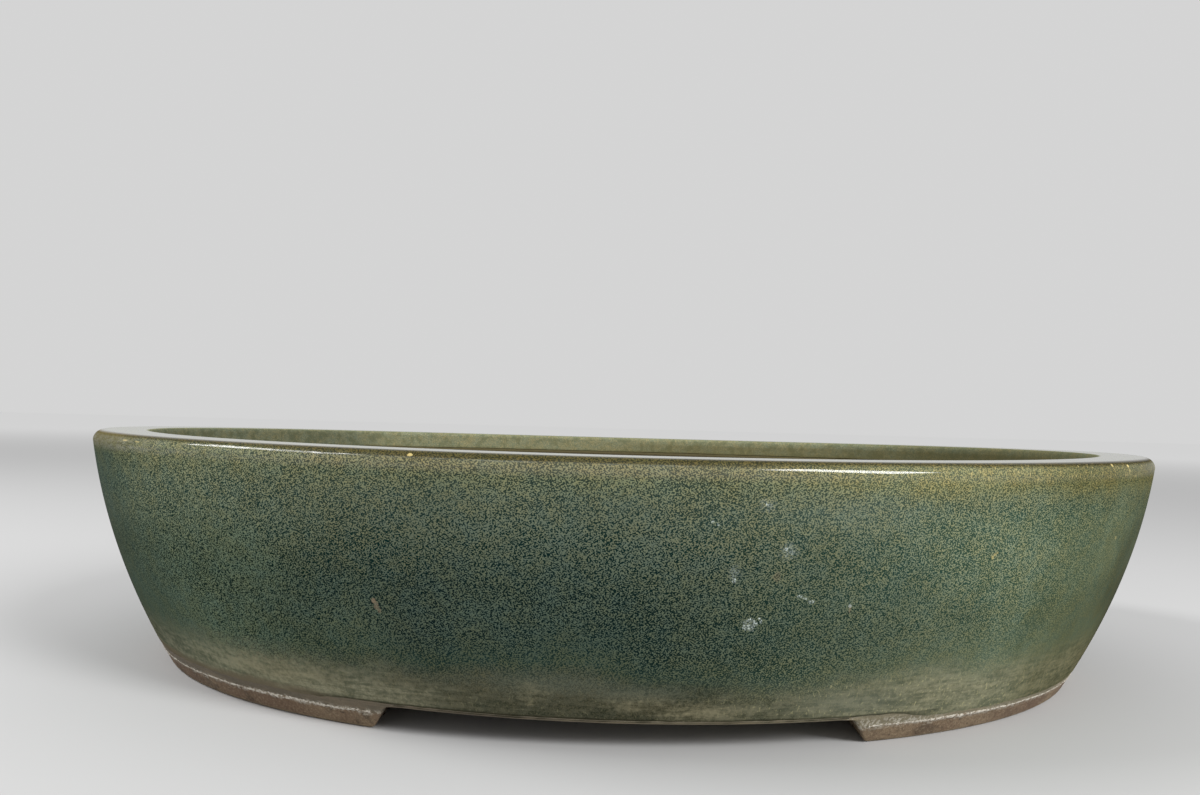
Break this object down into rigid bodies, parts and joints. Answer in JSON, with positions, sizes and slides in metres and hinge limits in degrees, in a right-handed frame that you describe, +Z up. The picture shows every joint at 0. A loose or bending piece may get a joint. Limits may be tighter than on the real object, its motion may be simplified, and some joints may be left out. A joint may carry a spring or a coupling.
{
  "type": "oval bonsai pot",
  "caption": "Shallow oval glazed stoneware bonsai pot with a bowed flaring wall, a flat inward-lipped rim, C-shaped end feet and open drain holes.",
  "frame": {"origin": "middle of the pot's footprint, on the surface that it stands on", "axes": "+X along the pot's length, to the right in the picture; +Y from its front to its back; +Z up"},
  "size_m": [0.45, 0.35, 0.092],
  "materials": {
    "glaze": "glossy speckled olive and blue-green glaze on stoneware",
    "bare_clay": "matt unglazed reddish-brown fired clay"
  },
  "bodies": {
    "root": {"wall": "glaze", "rim_lip": "glaze", "floor_slab": "bare_clay", "foot_left": "bare_clay", "foot_right": "bare_clay"}
  },
  "joints": []
}
